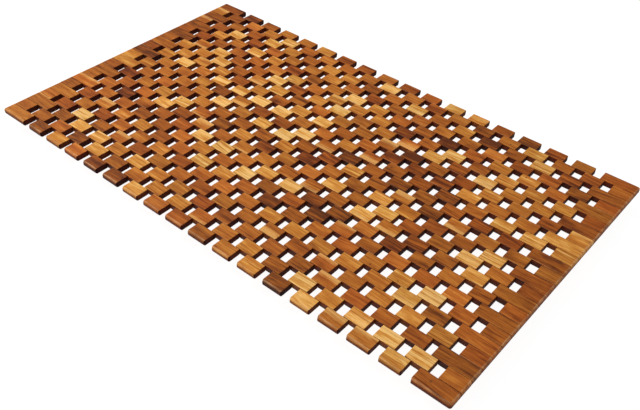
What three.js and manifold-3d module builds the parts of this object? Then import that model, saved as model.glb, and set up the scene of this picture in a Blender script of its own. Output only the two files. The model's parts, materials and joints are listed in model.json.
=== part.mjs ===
// A roll-up wooden bath mat: short slats laid like brickwork and threaded on cross wires, which are its hinges.
// Millimetres, +Z up. X runs along the mat and Y across it, with the origin on the floor under the mat's middle.
// A lane is one line of slats along the mat. A rank is the set of slats that hangs on the same two wires.
import * as THREE from 'three';
import { mergeVertices } from 'three/addons/utils/BufferGeometryUtils.js';
import Module from 'manifold-3d';

const wasm = await Module();
wasm.setup();

// Driving dimensions
const matLength = 864;
const matWidth = 504;
const thickness = 10;
const laneCount = 23;
const laneGap = 0.5; // play between two lanes, so that the slats turn freely beside each other
const rankCount = 33; // ranks of ordinary slats between the two end strips
const slatLength = 32;
const holeLength = 14.2; // drain hole between two slats of one lane
const slimming = 0.2; // even ranks are planed this much thinner, so the odd ranks carry the mat's weight
const wireSide = 1.8; // the wires are square here, and fit inside the free-turning bores at any angle
const boreSide = 3.2;
const wireEndCover = 8; // wood that hides the end of each wire, at both long edges of the mat
const boreEndPlay = 1; // room past the end of each wire
const edgeWireInset = 10; // from the outer wire of an end strip to the mat's short edge

// Sizes worked out from them
const slatWidth = (matWidth - (laneCount - 1) * laneGap) / laneCount;
const lanePitch = slatWidth + laneGap;
const rankPitch = (slatLength + holeLength) / 2; // also the distance between two hinge wires
const slatOverhang = (slatLength - rankPitch) / 2; // from a hinge wire to the end of the slats on it
const wireLength = matWidth - 2 * wireEndCover;
const boreLength = wireLength + 2 * boreEndPlay;
const outerHingeX = (rankCount * rankPitch) / 2; // hinge between the last rank and its end strip
const stripReach = matLength / 2 - outerHingeX; // from that hinge to the mat's short edge
const stripWireX = rankPitch; // wires of an end strip, measured from its hinge
const edgeWireX = stripReach - edgeWireInset;

// Lanes 0, 2, 4 ... hold the even ranks and the long end slats, lanes 1, 3, 5 ... the odd ranks and the short ones.
const evenLanes = [];
const oddLanes = [];
for (let lane = 0; lane < laneCount; lane += 1) {
  (lane % 2 === 0 ? evenLanes : oddLanes).push(lane);
}

const woods = {
  honey: new THREE.Color(0xc98b45),
  amber: new THREE.Color(0xa9632d),
  umber: new THREE.Color(0x74401f),
};

function laneY(lane) {
  return (lane - (laneCount - 1) / 2) * lanePitch;
}

// A block along the mat from x0 to x1, centred on y and on the middle of the thickness.
function block(x0, x1, y, width, height) {
  const box = new THREE.BoxGeometry(x1 - x0, width, height);
  box.translate((x0 + x1) / 2, y, 0);
  return toSolid(box);
}

function toSolid(geometry) {
  geometry.deleteAttribute('normal');
  geometry.deleteAttribute('uv');
  const merged = mergeVertices(geometry);
  const mesh = new wasm.Mesh({
    numProp: 3,
    vertProperties: new Float32Array(merged.attributes.position.array),
    triVerts: new Uint32Array(merged.index.array),
  });
  return new wasm.Manifold(mesh);
}

function toGeometry(solid) {
  const mesh = solid.getMesh();
  const geometry = new THREE.BufferGeometry();
  geometry.setAttribute('position', new THREE.BufferAttribute(mesh.vertProperties, mesh.numProp));
  geometry.setIndex(new THREE.BufferAttribute(mesh.triVerts, 1));
  geometry.computeVertexNormals();
  return geometry;
}

function wire(x) {
  return block(x - wireSide / 2, x + wireSide / 2, 0, wireLength, wireSide);
}

function bore(x) {
  return block(x - boreSide / 2, x + boreSide / 2, 0, boreLength, boreSide);
}

// The slats of some lanes from x0 to x1, bored for the wires they turn on and joined by the wires they hold.
function threadedSlats(lanes, x0, x1, height, heldWires, turningWires) {
  let solid = null;
  for (const lane of lanes) {
    const slat = block(x0, x1, laneY(lane), slatWidth, height);
    solid = solid === null ? slat : solid.add(slat);
  }
  for (const x of turningWires) {
    solid = solid.subtract(bore(x));
  }
  for (const x of heldWires) {
    solid = solid.add(wire(x));
  }
  return toGeometry(solid);
}

// A rank holds the wire on its far side and turns on the wire that the next rank holds.
function rankSlats(lanes, height) {
  return threadedSlats(lanes, -slatLength / 2, slatLength / 2, height, [-rankPitch / 2], [rankPitch / 2]);
}

// Long end slats start at the hinge. On the near strip they hold the hinge wire, on the far strip they turn on it.
function longEndSlats(holdsHinge) {
  const held = holdsHinge ? [0, edgeWireX] : [edgeWireX];
  const turning = holdsHinge ? [stripWireX] : [0, stripWireX];
  return threadedSlats(evenLanes, -slatOverhang, stripReach, thickness, held, turning);
}

// Short end slats fill the lanes between, and leave a drain hole on the hinge's side.
function shortEndSlats() {
  const start = stripWireX - slatOverhang;
  return threadedSlats(oddLanes, start, stripReach, thickness, [stripWireX], [edgeWireX]);
}

function woodPart(name, geometry, colour) {
  const material = new THREE.MeshStandardMaterial({ color: colour, roughness: 0.5, metalness: 0 });
  const part = new THREE.Mesh(geometry, material);
  part.name = name;
  return part;
}

function endStrip(name, x, turn, holdsHinge) {
  const strip = new THREE.Group();
  strip.position.set(x, 0, thickness / 2);
  strip.rotation.z = turn;
  strip.add(woodPart(`${name}_long_slats`, longEndSlats(holdsHinge), woods.umber));
  strip.add(woodPart(`${name}_short_slats`, shortEndSlats(), woods.honey));
  return strip;
}

const mat = new THREE.Group();
mat.add(endStrip('far_end', -outerHingeX, Math.PI, false));
mat.add(endStrip('near_end', outerHingeX, 0, true));

const rankShapes = [rankSlats(evenLanes, thickness - slimming), rankSlats(oddLanes, thickness)];
for (let rank = 1; rank <= rankCount; rank += 1) {
  const colour = rank % 2 === 0 ? woods.amber : woods.honey;
  const part = woodPart(`slat_rank_${String(rank).padStart(2, '0')}`, rankShapes[rank % 2], colour);
  part.position.set((rank - (rankCount + 1) / 2) * rankPitch, 0, thickness / 2);
  mat.add(part);
}

export default mat;
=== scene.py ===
import json
import math
import random

import bpy
import numpy as np
from mathutils import Matrix, Vector
from mathutils.geometry import tessellate_polygon

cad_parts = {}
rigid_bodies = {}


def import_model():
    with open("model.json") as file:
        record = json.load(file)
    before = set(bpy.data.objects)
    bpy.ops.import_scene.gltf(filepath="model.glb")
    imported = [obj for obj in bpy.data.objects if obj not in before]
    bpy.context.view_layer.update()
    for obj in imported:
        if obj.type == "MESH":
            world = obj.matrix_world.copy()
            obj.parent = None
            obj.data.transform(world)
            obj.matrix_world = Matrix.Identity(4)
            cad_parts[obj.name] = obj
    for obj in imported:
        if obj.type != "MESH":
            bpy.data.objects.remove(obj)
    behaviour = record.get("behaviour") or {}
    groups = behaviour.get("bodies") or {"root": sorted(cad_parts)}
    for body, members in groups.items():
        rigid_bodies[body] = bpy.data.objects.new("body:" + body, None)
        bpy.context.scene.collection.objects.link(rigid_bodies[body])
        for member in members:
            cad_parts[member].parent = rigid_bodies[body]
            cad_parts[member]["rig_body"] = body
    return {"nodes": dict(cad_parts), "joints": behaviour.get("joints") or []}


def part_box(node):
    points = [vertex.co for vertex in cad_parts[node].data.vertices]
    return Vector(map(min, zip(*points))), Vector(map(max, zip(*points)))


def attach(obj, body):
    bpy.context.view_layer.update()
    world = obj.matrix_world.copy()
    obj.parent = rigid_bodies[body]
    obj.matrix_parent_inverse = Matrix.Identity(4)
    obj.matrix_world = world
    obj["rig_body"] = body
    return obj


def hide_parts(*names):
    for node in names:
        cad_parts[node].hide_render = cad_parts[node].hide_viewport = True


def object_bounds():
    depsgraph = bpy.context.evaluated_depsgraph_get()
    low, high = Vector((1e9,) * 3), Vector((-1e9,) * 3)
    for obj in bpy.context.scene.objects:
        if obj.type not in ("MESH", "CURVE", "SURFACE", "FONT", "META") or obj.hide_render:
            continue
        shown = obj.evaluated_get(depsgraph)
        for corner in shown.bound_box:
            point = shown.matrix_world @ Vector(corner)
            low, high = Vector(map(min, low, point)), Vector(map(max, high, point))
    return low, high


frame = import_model()
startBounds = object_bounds()

# a roll-up bath mat: short hardwood slats in brickwork, threaded on hidden wires
# x runs along the mat, y across it, z up; a lane is one line of slats along x
# a rank is the set of slats that hangs on the same two wires

mat = {
    "laneCount": 23,
    "laneGap": 0.0005,  # play between two lanes
    "seed": 758,
}

matLow, matHigh = (Vector(corner) for corner in startBounds)
matMiddleY = (matLow.y + matHigh.y) / 2
laneWidth = (matHigh.y - matLow.y - (mat["laneCount"] - 1) * mat["laneGap"]) / mat["laneCount"]
lanePitch = laneWidth + mat["laneGap"]
hinges = sorted(joint["pos_m"][0] for joint in frame["joints"])
axisHeight = frame["joints"][0]["pos_m"][2]
rankPitch = hinges[1] - hinges[0]
lastLane = mat["laneCount"] - 1


def laneMiddle(lane):
    return matMiddleY + (lane - lastLane / 2) * lanePitch


def smoothStep(value):
    value = min(max(value, 0.0), 1.0)
    return value * value * (3 - 2 * value)


def newMaterial(name):
    material = bpy.data.materials.new(name)
    material.use_nodes = True
    tree = material.node_tree
    tree.nodes.clear()
    output = tree.nodes.new("ShaderNodeOutputMaterial")
    shader = tree.nodes.new("ShaderNodeBsdfPrincipled")
    tree.links.new(shader.outputs["BSDF"], output.inputs["Surface"])
    return material, tree, shader


def plug(tree, socket, value):
    # joins an output to a socket, or sets the socket to a plain value
    if isinstance(value, bpy.types.NodeSocket):
        tree.links.new(value, socket)
    else:
        socket.default_value = value


def readAttribute(tree, name, kind="Fac"):
    node = tree.nodes.new("ShaderNodeAttribute")
    node.attribute_name = name
    return node.outputs[kind]


def compute(tree, operation, first, second=0.0, third=None, clamp=False):
    node = tree.nodes.new("ShaderNodeMath")
    node.operation = operation
    node.use_clamp = clamp
    plug(tree, node.inputs[0], first)
    plug(tree, node.inputs[1], second)
    if third is not None:
        plug(tree, node.inputs[2], third)
    return node.outputs[0]


def vectorCompute(tree, operation, first, second, third=None):
    node = tree.nodes.new("ShaderNodeVectorMath")
    node.operation = operation
    plug(tree, node.inputs[0], first)
    plug(tree, node.inputs[1], second)
    if third is not None:
        plug(tree, node.inputs[2], third)
    return node.outputs["Value"] if operation == "LENGTH" else node.outputs[0]


def remap(tree, value, low, high, newLow=0.0, newHigh=1.0, shape="SMOOTHSTEP"):
    node = tree.nodes.new("ShaderNodeMapRange")
    node.interpolation_type = shape
    plug(tree, node.inputs["Value"], value)
    plug(tree, node.inputs["From Min"], low)
    plug(tree, node.inputs["From Max"], high)
    plug(tree, node.inputs["To Min"], newLow)
    plug(tree, node.inputs["To Max"], newHigh)
    return node.outputs["Result"]


def noiseOf(tree, place, scale, detail=2.0, roughness=0.5, distortion=0.0):
    node = tree.nodes.new("ShaderNodeTexNoise")
    plug(tree, node.inputs["Vector"], place)
    plug(tree, node.inputs["Scale"], scale)
    plug(tree, node.inputs["Detail"], detail)
    plug(tree, node.inputs["Roughness"], roughness)
    plug(tree, node.inputs["Distortion"], distortion)
    return node.outputs[0]


def mixColour(tree, factor, first, second, blend="MIX"):
    node = tree.nodes.new("ShaderNodeMix")
    node.data_type = "RGBA"
    node.blend_type = blend
    node.clamp_factor = True
    plug(tree, node.inputs[0], factor)
    plug(tree, node.inputs[6], first)
    plug(tree, node.inputs[7], second)
    return node.outputs[2]


def rampOf(tree, factor, stops):
    node = tree.nodes.new("ShaderNodeValToRGB")
    ramp = node.color_ramp
    while len(ramp.elements) < len(stops):
        ramp.elements.new(0.5)
    for element, (place, colour) in zip(ramp.elements, stops):
        element.position = place
        element.color = (*colour, 1.0)
    plug(tree, node.inputs[0], factor)
    return node.outputs["Color"]


def addBump(tree, shader, height, strength, depth):
    bump = tree.nodes.new("ShaderNodeBump")
    bump.inputs["Strength"].default_value = strength
    bump.inputs["Distance"].default_value = depth
    plug(tree, bump.inputs["Height"], height)
    plug(tree, shader.inputs["Normal"], bump.outputs["Normal"])


wood = {
    "palette": [  # from the darkest heartwood to the palest slats
        (0.00, (0.105, 0.027, 0.006)),
        (0.10, (0.190, 0.050, 0.008)),
        (0.24, (0.290, 0.082, 0.010)),
        (0.42, (0.390, 0.122, 0.016)),
        (0.60, (0.480, 0.172, 0.024)),
        (0.76, (0.590, 0.250, 0.042)),
        (0.90, (0.720, 0.370, 0.085)),
        (1.00, (0.820, 0.490, 0.160)),
    ],
    "sapwood": (0.84, 0.48, 0.15, 1.0),
    "knotColour": (0.10, 0.035, 0.012, 1.0),
    # colour of the rubbing and painted highlight along the tops of the rounded edges
    "wornEdgeAndHighlight": (0.80, 0.48, 0.24, 1.0),
    "redTint": (1.04, 0.84, 0.86, 1.0),  # from here on, colours that multiply the wood's own
    "greyTint": (0.80, 0.86, 0.96, 1.0),
    "poreTint": (0.30, 0.20, 0.14, 1.0),
    "lineTint": (0.42, 0.30, 0.22, 1.0),
    "endGrainAndShade": (0.22, 0.075, 0.012, 1.0),  # the end grain drinks the oil and goes dark; painted shade darkens it further inside the holes
    "paintedWallShade": (0.42, 0.180, 0.035, 1.0),  # painted shade on the walls along a hole
    "bend": (16.0, 60.0),  # waves of each pattern in a metre, along the board and across it
    "rings": (9.0, 300.0),
    "lines": (14.0, 900.0),
    "fibres": (45.0, 1500.0),
    "pores": (210.0, 2600.0),
    "clouds": (38.0, 110.0),
    "bendReach": 0.005,
    "lineBand": (0.56, 0.68),  # part of the pattern that shows as lines, and as pores
    "poreBand": (0.62, 0.74),
    "linePlace": 3.7,  # so that the lines don't follow the fibres
    "ringShift": 1.22,  # how far each pattern moves the tone of a slat
    "fibreShift": 0.55,
    "cloudShift": 0.55,
    "lineStrength": 0.68,
    "poreStrength": 0.55,
    "sapWander": 0.9,  # how far the grain bends the edge of the sapwood
    "sapEdge": (-0.30, 0.45),
    "sapStreaks": 0.7,
    "sapStrength": 0.8,
    "knotRagged": 0.5,
    "knotEdge": (0.7, 1.5),
    "knotStrength": 0.85,
    "wornAndLitWhere": (0.35, 0.75),
    "wornAndLitStrength": (0.12, 0.50),
    "bottomShade": 0.32,  # light left on the walls at the underside
    "roughness": 0.38,
    "roughClouds": 0.16,  # what each pattern adds to the roughness
    "roughFibres": 0.10,
    "roughCuts": 0.28,
    "roughSap": 0.05,
    "specular": 0.10,
    "ringRelief": 0.5,
    "poreRelief": -0.8,
    "bumpStrength": 0.45,
    "bumpDepth": 0.00012,
}
white = (1.0, 1.0, 1.0, 1.0)


def grainNoise(tree, place, kind, detail, shift=0.0):
    along, across = wood[kind]
    stretched = vectorCompute(tree, "MULTIPLY_ADD", place, (along, across, across), (shift, shift, shift))
    return noiseOf(tree, stretched, 1.0, detail, 0.6)


def ringsOf(tree, place):
    # growth rings: distance from the heart of the tree, bent a little along the board
    along, across = wood["rings"]
    flat = vectorCompute(tree, "MULTIPLY", place, (0.0, 1.0, 1.0))
    radius = vectorCompute(tree, "LENGTH", flat, (0.0, 0.0, 0.0))
    bent = compute(tree, "MULTIPLY_ADD", grainNoise(tree, place, "bend", 2.0), wood["bendReach"], radius)
    split = tree.nodes.new("ShaderNodeSeparateXYZ")
    plug(tree, split.inputs[0], place)
    join = tree.nodes.new("ShaderNodeCombineXYZ")
    plug(tree, join.inputs[0], compute(tree, "MULTIPLY", bent, across))
    plug(tree, join.inputs[1], compute(tree, "MULTIPLY", split.outputs[0], along))
    return noiseOf(tree, join.outputs[0], 1.0, 3.0, 0.6)


def grainOf(tree):
    # the patterns of the wood, each one between 0 and 1
    place = readAttribute(tree, "grainPlace", "Vector")
    return {
        "rings": ringsOf(tree, place),
        "fibres": grainNoise(tree, place, "fibres", 2.0),
        "clouds": grainNoise(tree, place, "clouds", 3.0),
        "pores": remap(tree, grainNoise(tree, place, "pores", 1.0), *wood["poreBand"]),
        "lines": remap(tree, grainNoise(tree, place, "lines", 1.0, wood["linePlace"]), *wood["lineBand"]),
    }


def heartwoodOf(tree, grain):
    # the slat's own tone, moved by the grain, looked up in the palette and tinted
    tone = readAttribute(tree, "tone")
    for pattern, reach in (("rings", "ringShift"), ("fibres", "fibreShift"), ("clouds", "cloudShift")):
        centred = compute(tree, "SUBTRACT", grain[pattern], 0.5)
        tone = compute(tree, "MULTIPLY_ADD", centred, wood[reach], tone)
    colour = rampOf(tree, tone, wood["palette"])
    colour = mixColour(tree, readAttribute(tree, "redness"), colour, wood["redTint"], "MULTIPLY")
    return mixColour(tree, readAttribute(tree, "greyness"), colour, wood["greyTint"], "MULTIPLY")


def sapwoodOf(tree, grain):
    # share of sapwood: a band with a soft uneven edge along one side of some slats
    wander = compute(tree, "SUBTRACT", compute(tree, "ADD", grain["clouds"], grain["rings"]), 1.0)
    edge = compute(tree, "MULTIPLY_ADD", wander, wood["sapWander"], readAttribute(tree, "sapwood"))
    return remap(tree, edge, *wood["sapEdge"])


def knotOf(tree, grain):
    fromKnot = vectorCompute(tree, "LENGTH", readAttribute(tree, "knotPlace", "Vector"), (0.0, 0.0, 0.0))
    ragged = compute(tree, "MULTIPLY_ADD", grain["fibres"], wood["knotRagged"], fromKnot)
    return remap(tree, ragged, *wood["knotEdge"], wood["knotStrength"], 0.0)


def paintEndGrainAndWallShade(tree, colour, cut, wall):
    # the cut ends (dark end grain and painted shade) and the walls of the holes (painted shade), with the
    # painted shade deepening towards the underside
    colour = mixColour(tree, cut, colour, wood["endGrainAndShade"], "MULTIPLY")
    colour = mixColour(tree, wall, colour, wood["paintedWallShade"], "MULTIPLY")
    light = remap(tree, readAttribute(tree, "height"), 0.0, 1.0, wood["bottomShade"], 1.0, "LINEAR")
    shade = mixColour(tree, compute(tree, "MAXIMUM", cut, wall), white, greyOf(tree, light))
    return mixColour(tree, 1.0, colour, shade, "MULTIPLY")


def woodColour(tree, grain, sap):
    colour = heartwoodOf(tree, grain)
    streaks = compute(tree, "MULTIPLY", grain["rings"], wood["sapStreaks"])
    streakedSap = mixColour(tree, streaks, wood["sapwood"], colour)
    colour = mixColour(tree, compute(tree, "MULTIPLY", sap, wood["sapStrength"]), colour, streakedSap)
    for pattern, kind in (("lines", "line"), ("pores", "pore")):
        amount = compute(tree, "MULTIPLY", grain[pattern], wood[kind + "Strength"])
        colour = mixColour(tree, amount, colour, wood[kind + "Tint"], "MULTIPLY")
    colour = mixColour(tree, knotOf(tree, grain), colour, wood["knotColour"])
    # lighter edges: rubbing and painted highlight along the tops of the rounded edges
    wornAndLit = remap(tree, grain["clouds"], *wood["wornAndLitWhere"], *wood["wornAndLitStrength"])
    wornAndLit = compute(tree, "MULTIPLY", readAttribute(tree, "wearAndHighlight"), wornAndLit)
    return mixColour(tree, wornAndLit, colour, wood["wornEdgeAndHighlight"])


def makeWood():
    material, tree, shader = newMaterial("oiledHardwood")
    grain = grainOf(tree)
    sap = sapwoodOf(tree, grain)
    cut = readAttribute(tree, "endGrainAndShade")
    wall = readAttribute(tree, "paintedWallShade")
    plug(tree, shader.inputs["Base Color"], paintEndGrainAndWallShade(tree, woodColour(tree, grain, sap), cut, wall))

    # satin oil, a little drier in the pale wood and on the cut ends
    rough = compute(tree, "MULTIPLY_ADD", grain["clouds"], wood["roughClouds"], wood["roughness"])
    rough = compute(tree, "MULTIPLY_ADD", grain["fibres"], wood["roughFibres"], rough)
    rough = compute(tree, "MULTIPLY_ADD", cut, wood["roughCuts"], rough)
    rough = compute(tree, "MULTIPLY_ADD", sap, wood["roughSap"], rough, clamp=True)
    plug(tree, shader.inputs["Roughness"], rough)
    shader.inputs["Specular IOR Level"].default_value = wood["specular"]

    # fibres stand up, pores sink
    relief = compute(tree, "MULTIPLY_ADD", grain["rings"], wood["ringRelief"], grain["fibres"])
    relief = compute(tree, "MULTIPLY_ADD", grain["pores"], wood["poreRelief"], relief)
    addBump(tree, shader, relief, wood["bumpStrength"], wood["bumpDepth"])
    return material


def greyOf(tree, value):
    join = tree.nodes.new("ShaderNodeCombineColor")
    for channel in range(3):
        plug(tree, join.inputs[channel], value)
    return join.outputs[0]


steel = {
    "bright": (0.66, 0.65, 0.62, 1.0),
    "dull": (0.38, 0.37, 0.35, 1.0),
    "drawMarks": (4000.0, 60.0, 4000.0),  # waves in a metre, long along the wire
    "stains": 90.0,
    "stainBand": (0.45, 0.7),
    "roughness": 0.22,
    "roughMarks": 0.25,
    "bumpStrength": 0.3,
    "bumpDepth": 0.00003,
}


def makeSteel():
    material, tree, shader = newMaterial("steelWire")
    coordinates = tree.nodes.new("ShaderNodeTexCoord").outputs["Object"]
    marks = noiseOf(tree, vectorCompute(tree, "MULTIPLY", coordinates, steel["drawMarks"]), 1.0, 2.0)
    stain = noiseOf(tree, coordinates, steel["stains"], 4.0)
    colour = mixColour(tree, remap(tree, stain, *steel["stainBand"]), steel["bright"], steel["dull"])
    plug(tree, shader.inputs["Base Color"], colour)
    rough = compute(tree, "MULTIPLY_ADD", marks, steel["roughMarks"], steel["roughness"])
    plug(tree, shader.inputs["Roughness"], rough)
    shader.inputs["Metallic"].default_value = 1.0
    addBump(tree, shader, marks, steel["bumpStrength"], steel["bumpDepth"])
    return material


slat = {
    "edge": 0.00045,  # rounding of the sawn edges
    "roundOver": 0.0032,  # rounding of the mat's outer edges
    "mostSideInset": 0.0009,  # rounding of the ends where an outer edge runs out
    "leastRadius": 0.00012,
    "cornerSteps": 3,
    "roundSteps": 5,
    "bore": 0.0015,  # radius
    "boreSides": 10,
    "blindDepth": 0.0133,
    "lengthPlay": 0.0007,  # spread of each slat's two ends
    "mostPlay": 0.0014,
    "widthPlay": 0.00012,
    "turnPlay": math.radians(0.16),
    "thinning": 0.0001,
    "wornAndLitFrom": 0.75,  # share of the height where the rubbing and painted highlight of the edge start and where painted shade on the outer edges starts, darker downward
    "shadeFrom": 0.88,  # and where the outer edges start to darken downward
    "shadeReach": 0.4,
    "shadeStrength": 0.9,
    "bottomLip": 0.0002,  # left without painted shade at the underside
    "matEndCut": 0.6,  # how dark the cut ends along the mat's short edges are: dark end grain with less painted shade than inside the holes and how much painted shade the walls along its long edges take
    "outerWall": 0.86,  # and the walls along its long edges
}


class MeshParts:
    # the vertices, faces and values of all the slats of one piece

    pointKeys = ("grainPlace", "knotPlace", "tone", "redness", "greyness", "sapwood", "wearAndHighlight", "height")

    def __init__(self):
        self.points = []
        self.faces = []
        self.smooth = []
        self.pointValues = {key: [] for key in self.pointKeys}
        self.faceValues = {"endGrainAndShade": [], "paintedWallShade": []}

    def addFace(self, corners, smooth, endGrainAndShade=0.0, paintedWallShade=0.0):
        self.faces.append(corners)
        self.smooth.append(smooth)
        self.faceValues["endGrainAndShade"].append(endGrainAndShade)
        self.faceValues["paintedWallShade"].append(paintedWallShade)


def sideOutline(xLow, xHigh, zLow, zHigh, radiusLow, radiusHigh):
    # a rounded rectangle in x and z, anticlockwise seen from -y, with the steps each corner needs
    corners = [
        (xHigh, zHigh, radiusHigh, 0.0),
        (xLow, zHigh, radiusLow, 0.5 * math.pi),
        (xLow, zLow, radiusLow, math.pi),
        (xHigh, zLow, radiusHigh, 1.5 * math.pi),
    ]
    points = []
    steps = slat["roundSteps"]
    for x, z, radius, start in corners:
        centreX = x - math.copysign(radius, x - (xLow + xHigh) / 2)
        centreZ = z - math.copysign(radius, z - (zLow + zHigh) / 2)
        for step in range(steps + 1):
            angle = start + 0.5 * math.pi * step / steps
            points.append((centreX + radius * math.cos(angle), centreZ + radius * math.sin(angle)))
    return points


def sectionsOf(shape):
    # where the outline is swept through: y, how far the outline is drawn in, and whether that
    # is along a long edge of the mat
    sections = []
    for side, outer in (("low", shape["outerLow"]), ("high", shape["outerHigh"])):
        size = slat["roundOver"] if outer else slat["edge"]
        steps = slat["roundSteps"] if outer else slat["cornerSteps"]
        part = []
        for step in range(steps + 1):
            angle = 0.5 * math.pi * step / steps
            depth = size * (1 - math.cos(angle))
            inset = size * (1 - math.sin(angle))
            y = shape["yLow"] + depth if side == "low" else shape["yHigh"] - depth
            part.append((y, inset, outer))
        sections += part if side == "low" else part[::-1]
    return sections


def ringOf(shape, inset, outer):
    # the outline of one section; at the mat's corners the upright edge is rounded as much as the top
    sideInset = min(inset, slat["mostSideInset"]) if outer else inset
    endInset = inset if outer else sideInset
    radii = []
    for atMatEnd in (shape["endLow"], shape["endHigh"]):
        radius = slat["roundOver"] if atMatEnd else slat["edge"]
        radii.append(max(radius - 0.6 * inset, slat["leastRadius"]))
    return sideOutline(
        shape["xLow"] + (endInset if shape["endLow"] else sideInset),
        shape["xHigh"] - (endInset if shape["endHigh"] else sideInset),
        shape["zLow"] + inset,
        shape["zHigh"] - inset,
        *radii,
    )


def heightShare(shape, z):
    return (z - shape["zLow"]) / (shape["zHigh"] - shape["zLow"])


def wearAndHighlightAt(shape, x, z, edgeWearAndHighlight):
    # how much a point shows rubbing with a painted highlight: a line along the top of the rounded edges
    reach = 0.9 * slat["roundOver"]
    nearLow = shape["endLow"] and x < shape["xLow"] + reach
    nearHigh = shape["endHigh"] and x > shape["xHigh"] - reach
    topLine = smoothStep((heightShare(shape, z) - slat["wornAndLitFrom"]) / (1 - slat["wornAndLitFrom"]))
    return topLine * (1.0 if nearLow or nearHigh else edgeWearAndHighlight)


def sweepOutline(shape, look, sections):
    # the points of the slat's skin, the rubbing and painted highlight at each, and the points of each section
    local = []
    wearAndHighlight = []
    rings = []
    for y, inset, outer in sections:
        outline = ringOf(shape, inset, outer)
        rings.append(list(range(len(local), len(local) + len(outline))))
        edgeWearAndHighlight = 0.0
        if inset > 0:
            edgeWearAndHighlight = 1.0 if outer else look["rubAndHighlight"]
        for x, z in outline:
            wearAndHighlight.append(wearAndHighlightAt(shape, x, z, edgeWearAndHighlight))
            local.append((x, y, z))
    return local, wearAndHighlight, rings


def shadeAt(shape, z):
    # painted shade on a rounded outer edge, deeper and deeper towards the floor
    if z < shape["zLow"] + slat["bottomLip"]:
        return 0.0
    fromTop = (slat["shadeFrom"] - heightShare(shape, z)) / slat["shadeReach"]
    return slat["shadeStrength"] * smoothStep(fromTop)


def addSkin(parts, first, shape, sections, rings, local):
    # the faces between the sections
    count = len(rings[0])
    perCorner = slat["roundSteps"] + 1
    for index in range(len(rings) - 1):
        here, there = rings[index], rings[index + 1]
        sweepFlat = sections[index][1] + sections[index + 1][1] < 1e-9
        for step in range(count):
            after = (step + 1) % count
            outlineFlat = step % perCorner == perCorner - 1
            side = step // perCorner
            atMatEnd = (side == 1 and shape["endLow"]) or (side == 3 and shape["endHigh"])
            # end faces: dark end grain with painted shade, less of it at the mat's ends than inside the holes
            cut = 0.0
            if outlineFlat and side in (1, 3):
                cut = slat["matEndCut"] if atMatEnd else 1.0
            corners = [here[step], here[after], there[after], there[step]]
            # painted shade on the rounded outer edges, deeper towards the floor
            shade = 0.0
            if (sections[index][2] and not sweepFlat) or (atMatEnd and not outlineFlat):
                shade = shadeAt(shape, sum(local[i][2] for i in corners) / 4)
            smooth = not (sweepFlat and outlineFlat)
            parts.addFace([first + i for i in corners], smooth, endGrainAndShade=cut, paintedWallShade=shade)


def boreCircle(boreX, y, local, wearAndHighlight):
    circle = []
    for step in range(slat["boreSides"]):
        angle = -2 * math.pi * step / slat["boreSides"]
        circle.append(len(local))
        local.append((boreX + slat["bore"] * math.cos(angle), y, axisHeight + slat["bore"] * math.sin(angle)))
        wearAndHighlight.append(0.0)
    return circle


def addSideFaces(parts, first, shape, rings, local, wearAndHighlight):
    # the two faces across y with the bores cut in them; gives the circles of each bore
    boreRings = {}
    for cap, outer in ((0, shape["outerLow"]), (-1, shape["outerHigh"])):
        loops = [rings[cap]]
        if not outer:
            for boreX in shape["bores"]:
                circle = boreCircle(boreX, local[rings[cap][0]][1], local, wearAndHighlight)
                boreRings.setdefault(boreX, []).append(circle)
                loops.append(circle)
        members = [i for loop in loops for i in loop]
        outlines = [[Vector((local[i][0], local[i][2], 0.0)) for i in loop] for loop in loops]
        # painted shade on the side faces along the holes, a little less on the mat's long edges
        wall = slat["outerWall"] if outer else 1.0
        for triangle in tessellate_polygon(outlines):
            corners = [members[i] for i in triangle]
            a, b, c = (local[i] for i in corners)
            turn = (b[0] - a[0]) * (c[2] - a[2]) - (b[2] - a[2]) * (c[0] - a[0])
            if (turn > 0) != (cap == 0):  # a face towards -y runs anticlockwise in x and z
                corners.reverse()
            parts.addFace([first + i for i in corners], False, paintedWallShade=wall)
    return boreRings


def addBlindBore(parts, first, shape, circle, local, wearAndHighlight):
    # a bore that stops short of the mat's long edge
    openLow = shape["outerHigh"]
    depth = slat["blindDepth"] if openLow else -slat["blindDepth"]
    floor = []
    for i in circle:
        floor.append(len(local))
        local.append((local[i][0], local[i][1] + depth, local[i][2]))
        wearAndHighlight.append(0.0)
    addBore(parts, first, circle if openLow else floor, floor if openLow else circle)
    disc = [first + i for i in floor]
    parts.addFace(disc if openLow else disc[::-1], False, endGrainAndShade=1.0)


def addSlat(parts, shape, look):
    first = len(parts.points)
    sections = sectionsOf(shape)
    local, wearAndHighlight, rings = sweepOutline(shape, look, sections)
    addSkin(parts, first, shape, sections, rings, local)
    boreRings = addSideFaces(parts, first, shape, rings, local, wearAndHighlight)
    for circles in boreRings.values():
        if len(circles) == 1:
            addBlindBore(parts, first, shape, circles[0], local, wearAndHighlight)
        else:
            addBore(parts, first, *circles)
    finishSlat(parts, shape, look, local, wearAndHighlight)


def addBore(parts, first, lowCircle, highCircle):
    count = len(lowCircle)
    for step in range(count):
        after = (step + 1) % count
        corners = [lowCircle[step], lowCircle[after], highCircle[after], highCircle[step]]
        parts.addFace([first + i for i in corners], True, endGrainAndShade=1.0)


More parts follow.
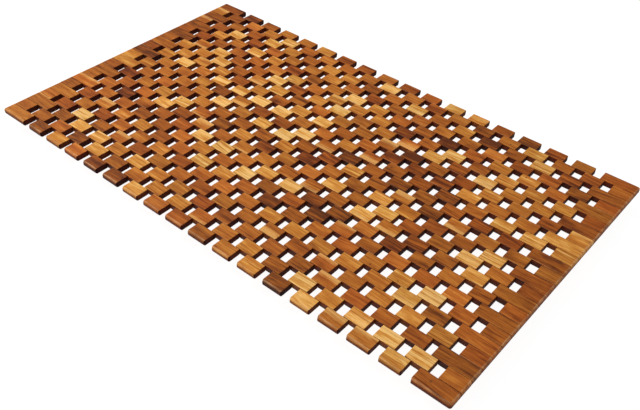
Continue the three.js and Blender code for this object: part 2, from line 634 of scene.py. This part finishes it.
def finishSlat(parts, shape, look, local, wearAndHighlight):
    # turns the slat a touch, and gives each of its points the values that the wood reads
    middleX = (shape["xLow"] + shape["xHigh"]) / 2
    middleY = (shape["yLow"] + shape["yHigh"]) / 2
    cosine, sine = math.cos(look["turn"]), math.sin(look["turn"])
    heartCos, heartSin = math.cos(look["heartAngle"]), math.sin(look["heartAngle"])
    for (x, y, z), rubAndHighlight in zip(local, wearAndHighlight):
        dx, dy, dz = x - middleX, y - middleY, z - axisHeight
        parts.points.append((middleX + cosine * dx - sine * dy, middleY + sine * dx + cosine * dy, z))
        lean = dy + look["slope"] * dx
        parts.pointValues["grainPlace"].append((
            dx + look["along"],
            lean * heartCos - dz * heartSin + look["heartReach"],
            lean * heartSin + dz * heartCos,
        ))
        parts.pointValues["tone"].append(look["tone"])
        parts.pointValues["redness"].append(look["redness"])
        parts.pointValues["greyness"].append(look["greyness"])
        parts.pointValues["sapwood"].append(look["sapSide"] * dy / (laneWidth / 2) - look["sapStart"])
        parts.pointValues["wearAndHighlight"].append(rubAndHighlight)
        parts.pointValues["height"].append(heightShare(shape, z))
        knotX, knotY, knotSize = look["knot"]
        parts.pointValues["knotPlace"].append(((dx - knotX) / knotSize, (dy - knotY) / knotSize, 0.0))


mixture = {
    "shares": [  # share of the slats, and the tones they take
        (0.09, 0.05, 0.17),
        (0.27, 0.18, 0.36),
        (0.34, 0.36, 0.54),
        (0.18, 0.54, 0.74),
        (0.12, 0.78, 0.98),
    ],
    "patches": [  # slats of one board lie together: share of half the length and width, pull on the tone
        (-0.68, 0.40, 0.34),
        (-0.12, 0.02, 0.36),
        (-0.44, -0.78, 0.28),
        (0.22, 0.84, 0.26),
        (0.60, -0.42, 0.16),
        (0.26, 0.36, -0.34),
        (0.50, 0.86, -0.22),
        (0.40, -0.28, -0.26),
        (-0.80, -0.10, -0.20),
    ],
    "patchReach": 0.085,
    "stripTone": 0.30,  # the end strips are of darker wood
    "stripPull": 0.36,
    "toneLimits": (0.03, 0.98),
    "paleFrom": 0.6,  # paler slats than this are less red
    "sapShare": 0.16,
    "sapTone": 0.32,  # only slats paler than this have sapwood
    "sapStart": (0.0, 0.9),  # from the slat's middle to its side
    "noSap": 9.0,
    "slope": 0.05,  # spread of the grain's slope along the slat
    "board": 8.0,  # length of the board that the slats are cut from
    "heartReach": (0.018, 0.11),  # from the heart of the tree to the slat
    "knotShare": 0.05,
    "knotAlong": 0.012,
    "knotAcross": 0.008,
    "knotSize": (0.0008, 0.0018),
    "noKnot": (1.0, 1.0),
}


def pickTone(chance, x, y, inStrip):
    draw = chance.random()
    total = 0.0
    tone = 0.5
    for share, low, high in mixture["shares"]:
        total += share
        if draw <= total:
            tone = chance.uniform(low, high)
            break
    for shareX, shareY, pull in mixture["patches"]:
        distance = math.hypot(x - shareX * matHigh.x, y - shareY * matHigh.y) / mixture["patchReach"]
        tone += pull * math.exp(-distance * distance) * chance.random()
    if inStrip:
        tone += (mixture["stripTone"] - tone) * mixture["stripPull"]
    least, most = mixture["toneLimits"]
    return min(max(tone, least), most)


def pickLook(chance, x, y, inStrip=False):
    # what sets one slat apart from the next
    tone = pickTone(chance, x, y, inStrip)
    hasSap = chance.random() < mixture["sapShare"] and tone > mixture["sapTone"]
    return {
        "tone": tone,
        "redness": chance.random() ** 1.3 * (1.0 if tone < mixture["paleFrom"] else 0.3),
        "greyness": chance.random() ** 3 * 0.6,
        "sapSide": chance.choice((-1.0, 1.0)),
        "sapStart": chance.uniform(*mixture["sapStart"]) if hasSap else mixture["noSap"],
        # how much rubbing and painted highlight each slat's sawn edges take
        "rubAndHighlight": chance.random() ** 2,
        "turn": chance.uniform(-1.0, 1.0) * slat["turnPlay"],
        "slope": chance.gauss(0.0, mixture["slope"]),
        "along": chance.uniform(0.0, mixture["board"]),
        "heartAngle": chance.uniform(0.0, 2 * math.pi),
        "heartReach": chance.uniform(*mixture["heartReach"]),
        "knot": pickKnot(chance),
    }


def pickKnot(chance):
    # middle of the knot from the slat's middle, and its radius; far away where there is none
    along, across = mixture["knotAlong"], mixture["knotAcross"]
    place = (chance.uniform(-along, along), chance.uniform(-across, across))
    size = chance.uniform(*mixture["knotSize"])
    return (*place, size) if chance.random() < mixture["knotShare"] else (*mixture["noKnot"], size)


def limited(chance, spread, most):
    return min(max(chance.gauss(0.0, spread), -most), most)


def shapeOf(chance, lane, low, high, bores, endLow=False, endHigh=False):
    # one slat between two corners of its piece's box, with a sawyer's small differences
    middle = laneMiddle(lane)
    half = laneWidth / 2
    return {
        "xLow": low.x if endLow else low.x + limited(chance, slat["lengthPlay"], slat["mostPlay"]),
        "xHigh": high.x if endHigh else high.x + limited(chance, slat["lengthPlay"], slat["mostPlay"]),
        "yLow": middle - half + chance.random() * slat["widthPlay"] * (lane > 0),
        "yHigh": middle + half - chance.random() * slat["widthPlay"] * (lane < lastLane),
        "zLow": low.z + chance.random() * slat["thinning"],
        "zHigh": high.z - chance.random() * slat["thinning"] * 2,
        "outerLow": lane == 0,
        "outerHigh": lane == lastLane,
        "endLow": endLow,
        "endHigh": endHigh,
        "bores": bores,
    }


def makePiece(name, parts, material):
    mesh = bpy.data.meshes.new(name)
    mesh.from_pydata(parts.points, [], parts.faces)
    mesh.polygons.foreach_set("use_smooth", parts.smooth)
    for key, values in parts.pointValues.items():
        kind = "FLOAT_VECTOR" if key.endswith("Place") else "FLOAT"
        attribute = mesh.attributes.new(key, kind, "POINT")
        flat = np.asarray(values, np.float32).ravel()
        attribute.data.foreach_set("vector" if kind == "FLOAT_VECTOR" else "value", flat)
    for key, values in parts.faceValues.items():
        attribute = mesh.attributes.new(key, "FLOAT", "FACE")
        attribute.data.foreach_set("value", np.asarray(values, np.float32))
    mesh.validate()
    mesh.update()
    mesh.materials.append(material)
    piece = bpy.data.objects.new(name, mesh)
    bpy.context.scene.collection.objects.link(piece)
    return piece


def finishPiece(piece, node):
    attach(piece, frame["nodes"][node]["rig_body"])
    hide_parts(node)


def makeRank(rank, chance, material):
    node = f"slat_rank_{rank:02d}"
    low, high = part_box(node)
    bores = [hinges[rank - 1], hinges[rank]]
    parts = MeshParts()
    for lane in range(0 if rank % 2 == 0 else 1, mat["laneCount"], 2):
        look = pickLook(chance, (low.x + high.x) / 2, laneMiddle(lane))
        addSlat(parts, shapeOf(chance, lane, low, high, bores), look)
    finishPiece(makePiece(f"slatRank{rank:02d}", parts, material), node)


endStrips = {
    "wireSpacing": rankPitch,  # from a strip's hinge to its middle wire
    "edgeWireInset": 0.010,  # from the mat's short edge to the last wire
}


def stripWires(side):
    # places of a strip's hinge wire, middle wire and edge wire
    hinge = hinges[-1] if side > 0 else hinges[0]
    edge = matHigh.x if side > 0 else matLow.x
    return hinge, hinge + side * endStrips["wireSpacing"], edge - side * endStrips["edgeWireInset"]


def makeStrip(name, side, chance, material):
    hinge, middle, edge = stripWires(side)
    for kind, firstLane, bores in (("long", 0, [hinge, middle, edge]), ("short", 1, [middle, edge])):
        node = f"{name}_end_{kind}_slats"
        low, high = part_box(node)
        parts = MeshParts()
        for lane in range(firstLane, mat["laneCount"], 2):
            look = pickLook(chance, (low.x + high.x) / 2, laneMiddle(lane), inStrip=True)
            shape = shapeOf(chance, lane, low, high, sorted(bores), endLow=side < 0, endHigh=side > 0)
            addSlat(parts, shape, look)
        piece = makePiece(f"{name}End{kind.title()}Slats", parts, material)
        finishPiece(piece, node)


wires = {
    "radius": 0.001,
    "cover": 0.009,  # wood past each end
    "sides": 14,
    "sections": 9,
    "wave": 0.00012,  # how far the wire wanders from straight
    "tip": 0.0003,
}


def wireStops():
    # y and radius of each section, with a small bevel at both tips
    low = matLow.y + wires["cover"]
    high = matHigh.y - wires["cover"]
    thin = wires["radius"] - wires["tip"]
    stops = [(low, thin), (low + wires["tip"], wires["radius"])]
    for step in range(1, wires["sections"]):
        stops.append((low + (high - low) * step / wires["sections"], wires["radius"]))
    return stops + [(high - wires["tip"], wires["radius"]), (high, thin)]


def makeWire(name, x, body, chance, material):
    points = []
    sides = wires["sides"]
    stops = wireStops()
    for y, radius in stops:
        middleX = x + chance.uniform(-1.0, 1.0) * wires["wave"]
        middleZ = axisHeight + chance.uniform(-1.0, 1.0) * wires["wave"]
        for step in range(sides):
            angle = 2 * math.pi * step / sides
            points.append((middleX + radius * math.cos(angle), y, middleZ + radius * math.sin(angle)))
    faces = []
    for here in range(0, sides * (len(stops) - 1), sides):
        there = here + sides
        for step in range(sides):
            after = (step + 1) % sides
            faces.append([here + step, here + after, there + after, there + step])
    faces.append(list(range(sides))[::-1])
    faces.append([len(points) - sides + step for step in range(sides)])
    mesh = bpy.data.meshes.new(name)
    mesh.from_pydata(points, [], faces)
    mesh.polygons.foreach_set("use_smooth", [True] * (len(faces) - 2) + [False, False])
    mesh.validate()
    mesh.flip_normals()
    mesh.materials.append(material)
    piece = bpy.data.objects.new(name, mesh)
    bpy.context.scene.collection.objects.link(piece)
    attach(piece, body)


def makeWires(chance, material):
    for index, x in enumerate(hinges, start=1):
        body = f"rank_{index:02d}" if index < len(hinges) else "near_end"
        makeWire(f"hingeWire{index:02d}", x, body, chance, material)
    for name, side in (("far", -1), ("near", 1)):
        for kind, x in zip(("Middle", "Edge"), stripWires(side)[1:]):
            makeWire(f"{name}{kind}Wire", x, f"{name}_end", chance, material)


studio = {
    "floorSize": 30.0,
    "floorDrop": 0.0266,  # clears the tail of the rolled-up mat, which hangs 25.4 mm below the flat mat
    "floorGlow": 0.94,
    "floorColour": (0.12, 0.12, 0.12, 1.0),
    "floorRoughness": 0.9,
    "floorSpecular": 0.1,
    "worldLight": 0.36,  # how strongly the white room lights the mat
    "worldSeen": 1.0,  # and how white it is behind the mat
    "lights": [  # place, size, power, each one aimed at the mat
        ((-1.5, -0.4, 2.2), 1.6, 60.0),
        ((0.4, 0.3, 2.8), 2.2, 16.0),
    ],
}

camera = {
    "place": (0.6439, -0.7438, 0.7396),
    "target": (0.1029, -0.0878, 0.0050),
    "lens": 44.52,
    "sensor": 36.0,
    "clipStart": 0.01,
    "roll": math.radians(1.495),
}


def makeFloor():
    size = studio["floorSize"] / 2
    height = matLow.z - studio["floorDrop"]
    mesh = bpy.data.meshes.new("floor")
    corners = [(-size, -size, height), (size, -size, height), (size, size, height), (-size, size, height)]
    mesh.from_pydata(corners, [], [(0, 1, 2, 3)])
    material, tree, shader = newMaterial("paleFloor")
    shader.inputs["Base Color"].default_value = studio["floorColour"]
    shader.inputs["Roughness"].default_value = studio["floorRoughness"]
    shader.inputs["Specular IOR Level"].default_value = studio["floorSpecular"]
    shader.inputs["Emission Color"].default_value = white
    shader.inputs["Emission Strength"].default_value = studio["floorGlow"]
    mesh.materials.append(material)
    floor = bpy.data.objects.new("floor", mesh)
    bpy.context.scene.collection.objects.link(floor)


def makeWorld():
    world = bpy.data.worlds.new("studio")
    world.use_nodes = True
    tree = world.node_tree
    background = tree.nodes["Background"]
    background.inputs["Color"].default_value = white
    seen = tree.nodes.new("ShaderNodeLightPath").outputs["Is Camera Ray"]
    strength = remap(tree, seen, 0.0, 1.0, studio["worldLight"], studio["worldSeen"], "LINEAR")
    plug(tree, background.inputs["Strength"], strength)
    bpy.context.scene.world = world


def makeLights():
    for index, (place, size, power) in enumerate(studio["lights"]):
        data = bpy.data.lights.new(f"softLight{index}", "AREA")
        data.shape = "SQUARE"
        data.size = size
        data.energy = power
        light = bpy.data.objects.new(data.name, data)
        light.location = place
        light.rotation_euler = (-Vector(place)).to_track_quat("-Z", "Y").to_euler()
        bpy.context.scene.collection.objects.link(light)


def makeCamera():
    data = bpy.data.cameras.new("camera")
    data.lens = camera["lens"]
    data.sensor_width = camera["sensor"]
    data.sensor_fit = "HORIZONTAL"
    data.clip_start = camera["clipStart"]
    forward = (Vector(camera["target"]) - Vector(camera["place"])).normalized()
    level = forward.cross(Vector((0.0, 0.0, 1.0))).normalized()
    upright = level.cross(forward)
    cosine, sine = math.cos(camera["roll"]), math.sin(camera["roll"])
    right = cosine * level + sine * upright
    up = cosine * upright - sine * level
    turned = Matrix((right, up, -forward)).transposed().to_4x4()
    view = bpy.data.objects.new("camera", data)
    view.matrix_world = Matrix.Translation(camera["place"]) @ turned
    bpy.context.scene.collection.objects.link(view)
    bpy.context.scene.camera = view


chance = random.Random(mat["seed"])
woodMaterial = makeWood()
steelMaterial = makeSteel()
print("materials made")

for rank in range(1, len(hinges)):
    makeRank(rank, chance, woodMaterial)
print("ranks made:", len(hinges) - 1)

makeStrip("far", -1, chance, woodMaterial)
makeStrip("near", 1, chance, woodMaterial)
print("end strips made")

makeWires(chance, steelMaterial)
print("wires made")

makeFloor()
makeWorld()
makeLights()
makeCamera()
bpy.context.scene.view_settings.view_transform = "Standard"
bpy.context.scene.view_settings.look = "None"
print("stage made")
